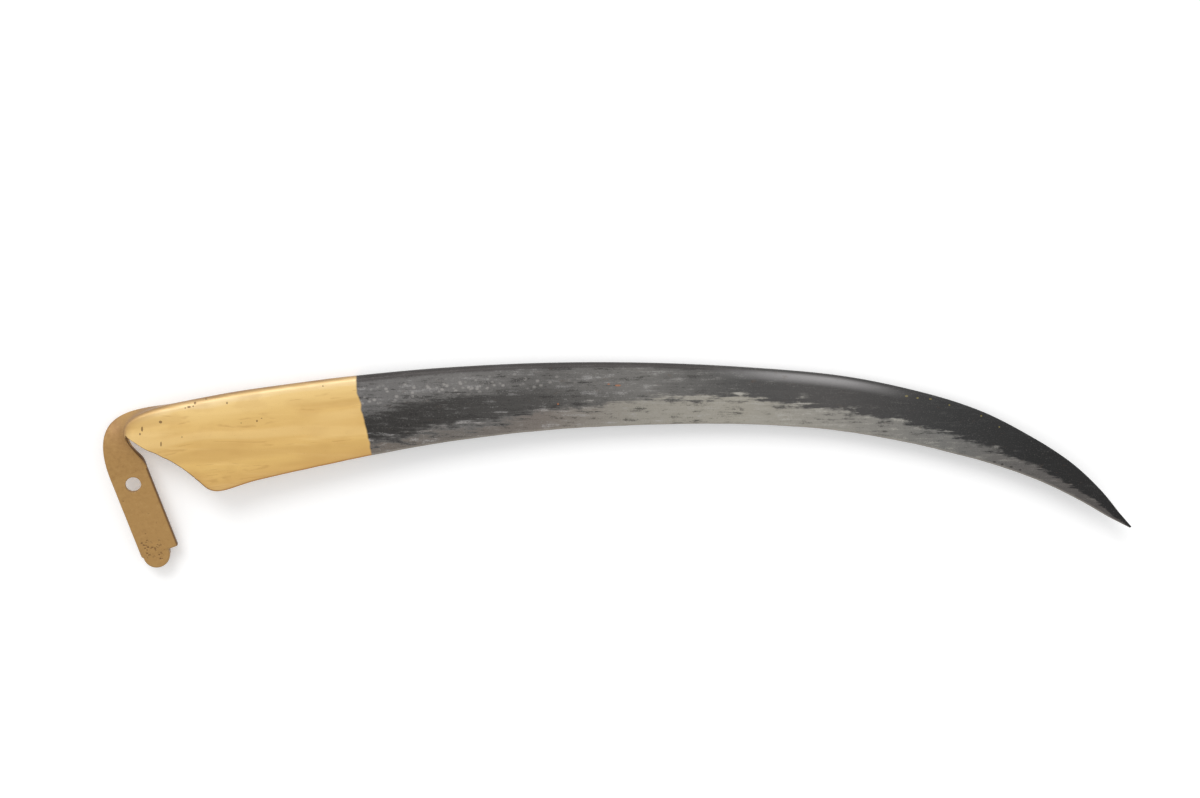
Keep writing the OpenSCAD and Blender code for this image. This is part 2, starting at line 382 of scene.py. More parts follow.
def noise(table, x, y):
    x, y = np.broadcast_arrays(np.asarray(x, float), np.asarray(y, float))
    i, j = np.floor(x).astype(int), np.floor(y).astype(int)
    s, t = x - i, y - j
    s, t = s * s * (3 - 2 * s), t * t * (3 - 2 * t)
    size = len(table)
    a, b = table[i % size, j % size], table[(i + 1) % size, j % size]
    c, d = table[i % size, (j + 1) % size], table[(i + 1) % size, (j + 1) % size]
    return (a * (1 - s) + b * s) * (1 - t) + (c * (1 - s) + d * s) * t


# Marks of forging on the underside. They only take away, so the part keeps its box. Sizes of
# ripples and marks are along and across the blade. HOLLOW is a shallow dish in the heel: its
# centre, its reach along and across, and its depth.
ripple_depth = 0.36
BROAD_RIPPLE = (75.0, 6.5)
FINE_RIPPLE = (28.0, 2.9)
WANDER = (45.0, 26.0, 2.2)
hammer_depth = 0.07
HAMMER_MARK = (4.6, 3.8)
FAR_HAMMER_MARK = (6.5, 5.5)
HOLLOW = (111.0, 35.0, 27.0, 9.0, 0.35)
ripple_rise = 0.10

# How far the outline of the web is worn in: all along it, and more on the heel's bare end
edge_rough = 0.1
EDGE_WAVE = (7.0, 9.0)
heel_rough = 0.9
HEEL_WAVE = (5.5, 6.5)


def ripple_lines(x, y):
    """Long broad ripples and shorter fine ones, each from -1 to 1."""
    across = y - ripple_rise * x + WANDER[2] * noise(WOBBLE, x / WANDER[0], y / WANDER[1])
    broad = noise(RIPPLES, x / BROAD_RIPPLE[0], across / BROAD_RIPPLE[1])
    return broad, noise(RIPPLES, x / FINE_RIPPLE[0] + 9, across / FINE_RIPPLE[1])


def worn_under(p, k):
    """How far the underside lies below its plain shape at points p of station k."""
    x, y = p[..., 0], p[..., 1]
    lines, fine = ripple_lines(x, y)
    marks = noise(HAMMER, x / HAMMER_MARK[0], y / HAMMER_MARK[1])
    steel = ease((k - k_lacquer + 0.3) / 0.6)
    cx, cy, rx, ry, deep = HOLLOW
    hollow = deep * np.exp(-(((x - cx) / rx) ** 2) - ((y - cy) / ry) ** 2)
    ripples = ripple_depth * (1 - 0.65 * steel) * (0.5 - 0.36 * lines - 0.14 * fine)
    hammered = hammer_depth * (0.25 + 0.75 * steel) * (0.5 - 0.5 * marks)
    return (ripples + hammered + hollow) * ease((k - k_corner) / 0.8)


def worn_over(p):
    """How far the far side's surface lies inside its plain shape."""
    x, y = p[..., 0], p[..., 1]
    marks = noise(FAR_HAMMER, x / FAR_HAMMER_MARK[0], y / FAR_HAMMER_MARK[1])
    return hammer_depth * (0.5 - 0.5 * marks)


# Sections. Each is a closed ring of points with what the materials need to know of them:
# share of the blade's width from the back, distance from the edge, facing up, on a side darkened with
# painted shade.
class Ring:
    def __init__(self):
        self.points, self.faces_up, self.flank, self.from_edge = [], [], [], []

    def add(self, points, up=0.0, flank=0.0, from_edge=99.0):
        points = np.atleast_2d(points)
        count = len(points)
        self.points.append(points)
        self.faces_up.append(np.full(count, up))
        self.flank.append(np.full(count, flank))
        self.from_edge.append(np.broadcast_to(from_edge, (count,)))

    def done(self, k):
        points = np.vstack(self.points)
        depth = (points - inner_point(k)) @ web_direction(k) / blade_width(max(k, 0.0))
        broad, fine = ripple_lines(points[:, 0], points[:, 1])
        facts = [np.full(len(points), k), depth, np.concatenate(self.from_edge),
                 np.concatenate(self.faces_up), np.concatenate(self.flank), 0.75 * broad + 0.25 * fine]
        return points, np.stack(facts, axis=1)


def between(a, b, steps):
    return np.array([mix(a, b, i / steps) for i in range(1, steps)])


def fillet(a, corner, b, steps):
    t = (np.arange(1, steps) / steps)[:, None]
    return a * (1 - t) ** 2 + 2 * corner * t * (1 - t) + b * t * t


def bend(f, q, c, r):
    turn = math.acos(min(1.0, float(f @ q)))
    start = c - f * r * math.tan(turn / 2)
    side = unit(q - f * (q @ f))
    a = np.linspace(0, turn, BEND_STEPS + 1)[:, None]
    return start + (f * np.sin(a) + side * (1 - np.cos(a))) * r


def outside(ring, k):
    """From the foot of the rib's inner face over its free edge and outer face to the web."""
    c, a = inner_point(k), outer_point(k)
    n, f = face_normal(k), face_direction(k)
    r = min(soft_round, 1.25 * rounding(k))
    b = a - n * bar_thick(k)
    angles = np.radians(np.linspace(0, 90, CORNER_STEPS + 1))[:, None]
    low = b + (f + n) * r - r * (n * np.cos(angles) + f * np.sin(angles))
    high = a + (f - n) * r + r * (n * np.sin(angles) - f * np.cos(angles))
    arc = bend(f, web_direction(k) if on_web(k) else -n, c, corner_r(k))
    fade = np.linspace(0, 1, len(arc)) ** 2
    if on_web(k):
        arc = arc - UP * (worn_under(arc, k) * fade)[:, None]
    ring.add(low)
    ring.add(high, up=1)
    ring.add(between(high[-1], arc[0], FACE_STEPS), up=1)
    ring.add(arc, up=1)
    return arc[-1], low[0]


def worn_point(p, k):
    return p - UP * worn_under(p, k)


def throat(ring, k, start, end, seam=True):
    """From the bend along the strip of web, round the inner fillet and down the inner face."""
    c, n, t, r = inner_point(k), face_normal(k), root_thick(k), rounding(k)
    q = web_direction(k)
    if on_web(k):
        depth = n[2] * t
        foot = web_t / n[2] if web_t < depth else t + (web_t - depth) / face_direction(k)[2]
        near = c + q * stub(k)
        corner = bar_wall(k, foot)
        corner[2] = near[2] - web_t
        root = corner + q * r
        runs = [max(foot + r, t - r), max(foot + r * 1.3, t + r)]
        wall = [near - UP * web_t + UP * worn_over(near), root, bar_wall(k, runs[0]), bar_wall(k, runs[1])]
        if seam:
            strip = between(start, near, STUB_STEPS)
            plain = between(c + q * 0.5 * stub(k), near, STUB_STEPS)
            strip[:, 2] = plain[:, 2] - worn_under(strip, k)
            ring.add(strip, up=1)
            ring.add(worn_point(near, k), up=1)
            ring.add(wall[0])
    else:
        side = [bar_wall(k, share * t) for share in (0.35, 0.5, 0.65)]
        runs = [t - r, t + r]
        wall = [side[1], side[2], bar_wall(k, runs[0]), bar_wall(k, runs[1])]
        corner = (wall[1] + wall[2]) / 2
        ring.add(between(start, side[0], STUB_STEPS), flank=1)
        ring.add(side[0], flank=1)
        ring.add(wall[0], flank=1)
    turn = bar_wall(k, t) if runs[0] < t < runs[1] else (wall[2] + wall[3]) / 2
    # Points on the bar's inner side that are not under the web are marked for painted shade, less where
    # the web joins
    bare = 1 - web_share(k)
    ring.add(wall[1], flank=bare)
    ring.add(fillet(wall[1], corner, wall[2], FILLET_STEPS), flank=bare)
    ring.add(wall[2], flank=bare)
    ring.add(fillet(wall[2], turn, wall[3], FILLET_STEPS), flank=bare)
    ring.add(wall[3])
    ring.add(between(wall[3], end, FACE_STEPS))


def bar_section(k):
    ring = Ring()
    start, end = outside(ring, k)
    throat(ring, k, start, end)
    return ring.done(k)


# Place in a bar's ring where its strip of web is cut from the web
SEAM_COLUMN = 2 * (CORNER_STEPS + 1) + (FACE_STEPS - 1) + (BEND_STEPS + 1) + (STUB_STEPS - 1)


def seam(k):
    return inner_point(k) + web_direction(k) * stub(k)


CORNER = seam(k_corner)


def heel_end(k):
    s = curve(HEEL_END, k - k_corner)
    run = flat(blade_edge(0) - CORNER)
    return np.array([CORNER[0], CORNER[1], web_lift]) + run * s[0] - quarter_turn(unit(run)) * s[1]


def low_line(k):
    """Edge of the web: its bare heel end up to station 0, and the cutting edge after that."""
    line = heel_end(k) if k < k_rib else blade_edge(k)
    inward = unit(flat(seam(k) - line))
    rough = edge_rough * (1 + noise(OUTLINE, line[0] / EDGE_WAVE[0], line[1] / EDGE_WAVE[1]))
    if k < k_rib:
        wave = noise(OUTLINE, line[0] / HEEL_WAVE[0], line[1] / HEEL_WAVE[1])
        rough = rough + heel_rough * (0.5 + 0.5 * wave)
    return line + inward * float(rough) * ease((k - k_corner) / 0.5) * ease((k_cone - k) / 2)


def web_width(k):
    return np.linalg.norm(flat(low_line(k) - seam(k)))


def heel_share(k):
    return 1 - ease(k - k_beard)


def web_layout(k):
    """Near and far points across the web, in one run from the seam to the band and on to the edge."""
    width = web_width(k)
    band = 1 - min(0.5, band_w / width)
    thin_band = mix(band_t, heel_end_t, heel_share(k))
    thin_edge = mix(edge_t, heel_end_t, heel_share(k))
    lip = min(0.35, 0.15 * width, 0.6 * thin_edge)
    shares = np.concatenate([np.linspace(0, band, WEB_STEPS + 1),
                             np.linspace(band, 1 - lip / width, BAND_STEPS + 1)[1:]])
    a, b = seam(k), low_line(k)
    plain = a + (b - a) * shares[:, None] - UP * (crown * (shares * width / blade_w) ** 2)[:, None]
    thick = np.interp(shares, [0, band, 1], [web_t, thin_band, thin_edge])
    loss = worn_under(plain, k) * np.clip((thick - 0.3) / 1.1, 0, 1)
    near = plain - UP * loss[:, None]
    far = plain - UP * (thick - np.where(thick > 0.6, worn_over(plain), 0.0))[:, None]
    from_edge = (1 - shares) * width
    tip = b - UP * crown * (width / blade_w) ** 2
    lips = np.array([tip - UP * thin_edge * 0.3, tip - UP * thin_edge * 0.7])
    return near, far, lips, from_edge


def web_section(k):
    near, far, lips, from_edge = web_layout(k)
    ring = Ring()
    ring.add(near[:WEB_STEPS + 1], up=1, from_edge=from_edge[:WEB_STEPS + 1])
    ring.add(far[WEB_STEPS::-1], from_edge=from_edge[WEB_STEPS::-1])
    return ring.done(k)


def band_section(k):
    near, far, lips, from_edge = web_layout(k)
    ring = Ring()
    ring.add(near[WEB_STEPS:], up=1, from_edge=from_edge[WEB_STEPS:])
    ring.add(lips, up=0.5, from_edge=0)
    ring.add(far[:WEB_STEPS - 1:-1], from_edge=from_edge[:WEB_STEPS - 1:-1])
    return ring.done(k)


def heel_section(k):
    near, far, lips, from_edge = web_layout(k)
    ring = Ring()
    ring.add(near, up=1, from_edge=from_edge)
    ring.add(lips, up=0.5, from_edge=0)
    ring.add(far[::-1], from_edge=from_edge[::-1])
    return ring.done(k)


def whole_section(k):
    near, far, lips, from_edge = web_layout(k)
    ring = Ring()
    start, end = outside(ring, k)
    strip = between(start, near[0], STUB_STEPS)
    ring.add(strip, up=1, from_edge=from_edge[0])
    ring.add(near, up=1, from_edge=from_edge)
    ring.add(lips, up=0.5, from_edge=0)
    ring.add(far[::-1], from_edge=from_edge[::-1])
    throat(ring, k, start, end, seam=False)
    return ring.done(k)


def stations(low, high):
    """Stations from low to high, spaced evenly along the forging."""
    fine = np.linspace(low, high, 60 * math.ceil(high - low) + 1)
    places = np.array([(outer_point(k) + inner_point(k)) / 2 for k in fine])
    run = np.concatenate([[0], np.cumsum(np.linalg.norm(np.diff(places, axis=0), axis=1))])
    count = max(2, round(run[-1] / SECTION_GAP))
    return np.interp(np.linspace(0, run[-1], count + 1), run, fine)


# The part lies on the knob's far rim and on the crest of the rib's free edge
KNOB_PLACE = np.array([-tang_w / 2 + knob_inset + knob_d / 2, -bore_to_end - knob_past_end, 0.0])
KNOB_FOOT = on_tang(KNOB_PLACE + np.array([0, -knob_d / 2 + knob_round, -knob_h]))
REST_UP = unit(np.cross(outer_point(k_rest_point) - KNOB_FOOT, outer_point(k_rest_heel) - KNOB_FOOT))
LAID_DOWN = turning(unit(np.cross(REST_UP, UP)), math.degrees(math.acos(REST_UP[2])))


def in_row(points):
    return np.asarray(points) @ LAID_DOWN.T * MM


# A shape on its way to a mesh: points in the blade's frame, faces, walls hidden inside the
# forging, and the facts of each point
class Shape:
    def __init__(self, points, quads, hidden, caps, facts):
        self.points, self.quads, self.hidden = points, quads, hidden
        self.caps, self.facts = caps, facts


def loft(sections, hidden_columns=()):
    """Closed shape through sections. hidden_columns gives columns and the station they start at."""
    points = np.stack([s[0] for s in sections])
    facts = np.stack([s[1] for s in sections])
    rows, n = points.shape[:2]
    index = np.arange(rows * n).reshape(rows, n)
    a, b = index[:-1], index[1:]
    quads = np.stack([a, b, np.roll(b, -1, axis=1), np.roll(a, -1, axis=1)], axis=2)
    hidden = np.zeros((rows - 1, n), bool)
    for column, from_station in hidden_columns:
        hidden[facts[:-1, 0, 0] >= from_station, column] = True
    caps = [index[0].tolist(), index[-1, ::-1].tolist()]
    return Shape(points.reshape(-1, 3), quads.reshape(-1, 4), hidden.ravel(), caps,
                 facts.reshape(-1, facts.shape[2]))


def quad_normals(points, quads):
    p = points[quads]
    return np.cross(p[:, 2] - p[:, 0], p[:, 3] - p[:, 1]) / 2


def smooth_corner_normals(shapes):
    """Normals at the corners of all shown quads, smooth over the seams between shapes."""
    grains = 5000
    areas = [quad_normals(s.points, s.quads) for s in shapes]
    shown = [~s.hidden for s in shapes]
    places = np.vstack([s.points[s.quads[m]].reshape(-1, 3) for s, m in zip(shapes, shown)])
    weights = np.vstack([np.repeat(a[m], 4, axis=0) for a, m in zip(areas, shown)])
    _, ids = np.unique(np.round(places * grains).astype(np.int64), axis=0, return_inverse=True)
    ids = ids.ravel()
    order = np.argsort(ids, kind="stable")
    ids, w = ids[order], weights[order]
    way = w / np.maximum(np.linalg.norm(w, axis=1), 1e-12)[:, None]
    total = w.copy()
    least = math.cos(math.radians(SHARP_ANGLE))
    for step in range(1, 9):
        alike = (ids[step:] == ids[:-step]) & ((way[step:] * way[:-step]).sum(axis=1) > least)
        rows = np.nonzero(alike)[0]
        total[rows] += w[rows + step]
        total[rows + step] += w[rows]
    corner = np.empty_like(total)
    corner[order] = total / np.maximum(np.linalg.norm(total, axis=1), 1e-12)[:, None]
    made, at = [], 0
    for s, area, mask in zip(shapes, areas, shown):
        all_corners = np.repeat(area, 4, axis=0).reshape(-1, 4, 3)
        all_corners /= np.maximum(np.linalg.norm(all_corners, axis=2), 1e-12)[..., None]
        count = int(mask.sum())
        all_corners[mask] = corner[at:at + 4 * count].reshape(-1, 4, 3)
        at += 4 * count
        made.append(all_corners.reshape(-1, 3))
    return made


# What the materials read at each point, in the order of the facts' columns
FACT_NAMES = ("station", "depth", "from_edge", "faces_up", "flank", "ripple")


def make_piece(name, points, faces, corner_normals, facts, node):
    """Mesh object in the row's frame that stands for one CAD node."""
    mesh = bpy.data.meshes.new(name)
    mesh.from_pydata(in_row(points).tolist(), [], faces)
    mesh.update()
    mesh.polygons.foreach_set("use_smooth", [True] * len(mesh.polygons))
    mesh.normals_split_custom_set((corner_normals @ LAID_DOWN.T).tolist())
    place = mesh.attributes.new("place", "FLOAT_VECTOR", "POINT")
    place.data.foreach_set("vector", np.asarray(points, np.float32).ravel())
    for column, fact in enumerate(FACT_NAMES):
        attribute = mesh.attributes.new(fact, "FLOAT", "POINT")
        attribute.data.foreach_set("value", facts[:, column].astype(np.float32))
    piece = bpy.data.objects.new(name, mesh)
    bpy.context.scene.collection.objects.link(piece)
    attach(piece, "root")
    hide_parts(node)
    return piece


def cap_normals(points, cap):
    ring = points[cap]
    middle = ring.mean(axis=0)
    area = np.cross(ring - middle, np.roll(ring, -1, axis=0) - middle).sum(axis=0)
    return np.repeat([unit(area)], len(cap), axis=0)


def last_taper():
    """Sections from the start of the point's last taper to its blunt tip."""
    points, facts = whole_section(k_cone)
    centre = points.mean(axis=0)
    top = blade_back(k_tip) - UP * tip_t / 2 - back_direction(k_tip) * tip_inset
    blunt = top + (points - centre) * tip_share
    made = []
    for t in np.linspace(0, 1, 9)[1:]:
        made.append((mix(points, blunt, t), facts))
    return made


def forged_pieces():
    neck_open = stations(k_tang, k_web_start)[:-1]
    neck_web = stations(k_web_start, k_rib)
    heel = stations(k_rib, k_lacquer)
    blade = stations(k_lacquer, k_point)
    tip = stations(k_point, k_cone)
    web_last = 2 * (WEB_STEPS + 1) - 1
    band_last = 2 * (BAND_STEPS + 1) + 2 - 1
    heel_last = 2 * (WEB_STEPS + BAND_STEPS + 1) + 2 - 1
    plans = [
        ("forged_neck", "neck", "lacquer",
         loft([bar_section(k) for k in np.concatenate([neck_open, neck_web])],
              [(SEAM_COLUMN, k_web_start)])),
        ("forged_heel", "heel", "lacquer",
         loft([heel_section(k) for k in np.concatenate([neck_web, heel[1:]])], [(heel_last, -99)])),
        ("forged_heel_rib", "heel_rib", "lacquer",
         loft([bar_section(k) for k in heel], [(SEAM_COLUMN, -99)])),
        ("forged_web", "blade_web", "dark_steel",
         loft([web_section(k) for k in blade], [(WEB_STEPS, -99), (web_last, -99)])),
        ("forged_rib", "back_rib", "dark_steel",
         loft([bar_section(k) for k in blade], [(SEAM_COLUMN, -99)])),
        ("forged_band", "edge_band", "ground_steel",
         loft([band_section(k) for k in blade], [(band_last, -99)])),
        ("forged_point", "point", "dark_steel",
         loft([whole_section(k) for k in tip] + last_taper())),
    ]
    corners = smooth_corner_normals([plan[3] for plan in plans])
    made = []
    for (name, node, slot, shape), normals in zip(plans, corners):
        faces = shape.quads.tolist() + shape.caps
        normals = np.vstack([normals] + [cap_normals(shape.points, cap) for cap in shape.caps])
        made.append(make_piece(name, shape.points, faces, normals, shape.facts, node))
    return made


# The tang is drawn as the zero surface of a distance, in its own frame: x across it, y up to the
# neck, z from the seat face to the near face
PITS = [
    (-9.3, -40.6, 0.9), (-8.5, -42.5, 0.8), (-8.6, -44.7, 0.7), (-5.3, -40.0, 0.6), (-6.3, -44.5, 1.0),
    (-3.9, -45.9, 0.8), (-2.3, -47.3, 0.7), (-8.6, -48.5, 0.7), (-1.3, -52.3, 0.8), (0.5, -51.5, 0.6),
    (-1.3, -55.3, 0.9), (-0.1, -55.8, 0.6), (-10.4, -8.4, 0.6), (-7.2, -43.2, 0.6), (-7.6, -46.4, 0.5),
    (3.4, -50.2, 0.4), (-4.6, -35.2, 0.4), (5.2, -30.5, 0.4), (2.4, -22.6, 0.3),
]
pit_depth = 0.4
NECK_OVERLAP = 1.5


def smooth_least(a, b, k):
    h = np.clip(0.5 + 0.5 * (b - a) / k, 0, 1)
    return b + (a - b) * h - k * h * (1 - h)


def rounded_box(p, low, high, r):
    middle, half = (low + high) / 2, (high - low) / 2
    q = np.abs(p - middle) - half + r
    return np.linalg.norm(np.maximum(q, 0), axis=-1) + np.minimum(q.max(axis=-1), 0) - r


def rounded_disc(p, centre, radius, low, high, r):
    out = np.hypot(p[..., 0] - centre[0], p[..., 1] - centre[1]) - radius + r
    up = np.abs(p[..., 2] - (low + high) / 2) - (high - low) / 2 + r
    return np.minimum(np.maximum(out, up), 0) + np.hypot(np.maximum(out, 0), np.maximum(up, 0)) - r


def pitting(p):
    """Share of a pit's depth at each point of the near face."""
    made = np.zeros(p.shape[:-1])
    for x, y, r in PITS:
        uneven = 1 + 0.35 * noise(HAMMER, p[..., 0] * 1.3, p[..., 1] * 1.3)
        made = np.maximum(made, np.exp(-((p[..., 0] - x) ** 2 + (p[..., 1] - y) ** 2) / (r * uneven) ** 2))
    return made * np.clip((p[..., 2] - tang_t / 2) / (tang_t / 2), 0, 1)


def tang_distance(p):
    low = np.array([-tang_w / 2, -bore_to_end, 0.0])
    high = np.array([tang_w / 2, bore_to_neck + 3 * NECK_OVERLAP, tang_t])
    bar = rounded_box(p, low, high, soft_round)
    tongue = rounded_disc(p, KNOB_PLACE, knob_d / 2, -tang_t, tang_t, knob_soft_round)
    tongue = np.maximum(tongue, -p[..., 2])
    solid = smooth_least(bar, tongue, 0.8)
    bore = bore_d / 2 - np.hypot(p[..., 0], p[..., 1])
    solid = -smooth_least(-solid, -bore, 0.6)
    worn = 0.05 * (0.5 - 0.5 * noise(HAMMER, p[..., 0] / 4.5, p[..., 1] / 6))
    near = np.clip((p[..., 2] - 1) / 2, 0, 1) * ease_array((bore_to_neck - p[..., 1]) / 6)
    return solid + (worn + pit_depth * pitting(p)) * near


def ease_array(t):
    t = np.clip(t, 0, 1)
    return t * t * (3 - 2 * t)


def slope(distance, p):
    e = 0.04
    parts = [distance(p + e * axis) - distance(p - e * axis) for axis in np.eye(3)]
    return np.stack(parts, axis=-1) / (2 * e)


def surface_net(distance, low, high, gap):
    """Quads over the zero surface of a distance, on a grid of cells."""
    axes = [np.arange(a, b + gap, gap) for a, b in zip(low, high)]
    grid = np.stack(np.meshgrid(*axes, indexing="ij"), axis=-1)
    inside = distance(grid) < 0
    cells = np.zeros(tuple(n - 1 for n in inside.shape), int)
    for i in (0, 1):
        for j in (0, 1):
            for k in (0, 1):
                cells += inside[i:i + cells.shape[0], j:j + cells.shape[1], k:k + cells.shape[2]]
    mixed = (cells > 0) & (cells < 8)
    number = np.full(cells.shape, -1)
    number[mixed] = np.arange(mixed.sum())
    points = grid[:-1, :-1, :-1][mixed] + gap / 2
    for _ in range(5):
        grade = slope(distance, points)
        size = np.maximum((grade ** 2).sum(axis=1), 0.25)
        points = points - grade * (distance(points) / size)[:, None]
    quads = []
    for axis in range(3):
        u, v = (axis + 1) % 3, (axis + 2) % 3
        a = inside.take(range(inside.shape[axis] - 1), axis)
        b = inside.take(range(1, inside.shape[axis]), axis)
        edges = np.argwhere(a != b)
        edges = edges[(edges[:, u] > 0) & (edges[:, v] > 0)
                      & (edges[:, u] < number.shape[u]) & (edges[:, v] < number.shape[v])]
        leaving = a[tuple(edges.T)]
        corners = []
        for du, dv in ((-1, -1), (0, -1), (0, 0), (-1, 0)):
            cell = edges.copy()
            cell[:, u] += du
            cell[:, v] += dv
            corners.append(number[tuple(cell.T)])
        quad = np.stack(corners, axis=1)
        quad[~leaving] = quad[~leaving][:, ::-1]
        quads.append(quad)
    return points, np.vstack(quads)


def cut_at_neck(points, quads):
    """The tang's net, cut square where the neck starts and closed there."""
    bm = bmesh.new()
    corners = [bm.verts.new(p) for p in points]
    for quad in quads:
        bm.faces.new([corners[i] for i in quad])
    bmesh.ops.bisect_plane(bm, geom=bm.verts[:] + bm.edges[:] + bm.faces[:], dist=1e-5,
                           plane_co=(0, bore_to_neck, 0), plane_no=(0, 1, 0), clear_outer=True)
    rim = [edge for edge in bm.edges if edge.is_boundary]
    bmesh.ops.holes_fill(bm, edges=rim, sides=0)
    bm.verts.index_update()
    points = np.array([v.co[:] for v in bm.verts])
    faces = [[v.index for v in face.verts] for face in bm.faces]
    bm.free()
    return points, faces


def tang_facts(points, normals_z):
    facts = np.zeros((len(points), len(FACT_NAMES)))
    facts[:, 0] = k_tang - 1 - pitting(points)
    facts[:, 2] = 99
    facts[:, 3] = normals_z > 0.3
    # The tang's right side strip is marked for painted shade
    facts[:, 4] = ease_array((points[:, 0] - tang_w / 2 + 1.6) / 1.2)
    return facts


def forged_tang():
    low = np.array([-tang_w / 2 - 1, -bore_to_end - knob_past_end - knob_d / 2 - 1, -1.0])
    high = np.array([tang_w / 2 + 1, bore_to_neck + NECK_OVERLAP, tang_t + 1])
    points, quads = surface_net(tang_distance, low, high, NET_GAP)
    inner = (points[quads][:, :, 1] < high[1] - 2 * NET_GAP).all(axis=1)
    points, faces = cut_at_neck(points, quads[inner])
    grade = slope(tang_distance, points)
    grade /= np.maximum(np.linalg.norm(grade, axis=1), 1e-9)[:, None]
    normals = []
    for face in faces:
        ring = points[face]
        if (ring[:, 1] > bore_to_neck - 1e-4).all():
            normals.extend([[0.0, 1.0, 0.0]] * len(face))
        else:
            normals.extend(grade[face])
    facts = tang_facts(points, grade[:, 2])
    normals = np.asarray(normals) @ TANG_TURNING.T
    return make_piece("forged_tang", on_tang(points), faces, normals, facts, "tang")


def forged_knob():
    """The round knob under the tang's tongue, turned from its side line."""
    sides, r = 96, knob_d / 2
    turn = np.radians(np.linspace(0, 90, 9))
    line = [(r, 0.0)] + [(r, -h) for h in np.linspace(0.8, knob_h - knob_soft_round, 8)]
    line += [(r - knob_soft_round * (1 - math.cos(a)), -knob_h + knob_soft_round * (1 - math.sin(a)))
             for a in turn[1:]]
    line += [(r * share, -knob_h + 0.12 * (1 - share)) for share in (0.6, 0.3, 0.08)]
    angles = np.linspace(0, 2 * math.pi, sides, endpoint=False)
    rings = []
    for radius, height in line:
        dent = 0.07 * (0.5 - 0.5 * noise(HAMMER, angles * r / 4 % 64, height / 3 + 7))
        dent = dent * (height < -0.5)
        p = np.stack([(radius - dent) * np.cos(angles), (radius - dent) * np.sin(angles),
                      np.full(sides, height)], axis=1) + KNOB_PLACE
        facts = np.zeros((sides, len(FACT_NAMES)))
        # The whole knob carries most of the painted shade of a shaded side
        facts[:, 0], facts[:, 2], facts[:, 4] = k_tang - 1, 99, 0.75
        rings.append((on_tang(p), facts))
    shape = loft(rings[::-1])
    normals = smooth_corner_normals([shape])[0]
    faces = shape.quads.tolist() + shape.caps
    normals = np.vstack([normals] + [cap_normals(shape.points, cap) for cap in shape.caps])
    return make_piece("forged_knob", shape.points, faces, normals, shape.facts, "tang_knob")


# Materials
def srgb(red, green, blue):
    """Colour for a shader, from a colour as it looks on a screen, 0 to 255."""
    def linear(c):
        c = c / 255
        return c / 12.92 if c <= 0.04045 else ((c + 0.055) / 1.055) ** 2.4
    return (linear(red), linear(green), linear(blue), 1.0)


def level(value):
    return (value, value, value, 1.0)


class Graph:
    """Short ways to build a material's nodes. Inputs are sockets or plain values."""

    def __init__(self, tree):
        self.tree = tree
        self.tree.nodes.clear()

    def node(self, kind, **settings):
        made = self.tree.nodes.new(kind)
        for key, value in settings.items():
            setattr(made, key, value)
        return made

    def feed(self, socket, value):
        if isinstance(value, bpy.types.NodeSocket):
            self.tree.links.new(value, socket)
        else:
            socket.default_value = value

    def math(self, operation, a, b=0.0, clamp=False):
        made = self.node("ShaderNodeMath", operation=operation, use_clamp=clamp)
        self.feed(made.inputs[0], a)
        self.feed(made.inputs[1], b)
        return made.outputs[0]

    def rise(self, value, low, high):
        made = self.node("ShaderNodeMapRange", interpolation_type="SMOOTHSTEP")
        self.feed(made.inputs["Value"], value)
        self.feed(made.inputs["From Min"], low)
        self.feed(made.inputs["From Max"], high)
        return made.outputs["Result"]

    def fall(self, value, low, high):
        return self.math("SUBTRACT", 1.0, self.rise(value, low, high))

    def times(self, *values):
        product = values[0]
        for value in values[1:]:
            product = self.math("MULTIPLY", product, value)
        return product

    def plus(self, a, b):
        return self.math("ADD", a, b)

    def mix(self, share, a, b, blend="MIX"):
        made = self.node("ShaderNodeMix", data_type="RGBA", blend_type=blend)
        self.feed(made.inputs[0], share)
        self.feed(made.inputs[6], a)
        self.feed(made.inputs[7], b)
        return made.outputs[2]

    def ramp(self, value, stops):
        made = self.node("ShaderNodeValToRGB")
        elements = made.color_ramp.elements
        elements[0].position, elements[0].color = stops[0]
        elements[1].position, elements[1].color = stops[-1]
        for place, colour in stops[1:-1]:
            elements.new(place).color = colour
        self.feed(made.inputs[0], value)
        return made.outputs[0]

    def fact(self, name):
        made = self.node("ShaderNodeAttribute", attribute_name=name)
        return made.outputs["Vector"] if name == "place" else made.outputs["Fac"]

    def scaled(self, vector, x, y, z):
        made = self.node("ShaderNodeVectorMath", operation="MULTIPLY")
        self.feed(made.inputs[0], vector)
        made.inputs[1].default_value = (x, y, z)
        return made.outputs[0]

    def noise(self, vector, detail=3.0, rough=0.55):
        made = self.node("ShaderNodeTexNoise")
        self.feed(made.inputs["Vector"], vector)
        made.inputs["Scale"].default_value = 1.0
        made.inputs["Detail"].default_value = detail
        made.inputs["Roughness"].default_value = rough
        return made.outputs[0]

    def cells(self, vector):
        made = self.node("ShaderNodeTexVoronoi")
        self.feed(made.inputs["Vector"], vector)
        made.inputs["Scale"].default_value = 1.0
        return made.outputs["Distance"]

    def spots(self, vector, centres):
        """Mask of spots, each x, y, half length along x and half width, in millimetres."""
        total = None
        for x, y, half_x, half_y in centres:
            shift = self.node("ShaderNodeVectorMath", operation="SUBTRACT")
            self.feed(shift.inputs[0], vector)
            shift.inputs[1].default_value = (x, y, 0)
            size = self.node("ShaderNodeVectorMath", operation="LENGTH")
            self.feed(size.inputs[0], self.scaled(shift.outputs[0], 1 / half_x, 1 / half_y, 0))
            spot = self.fall(size.outputs["Value"], 0.7, 1.1)
            total = spot if total is None else self.math("MAXIMUM", total, spot)
        return total


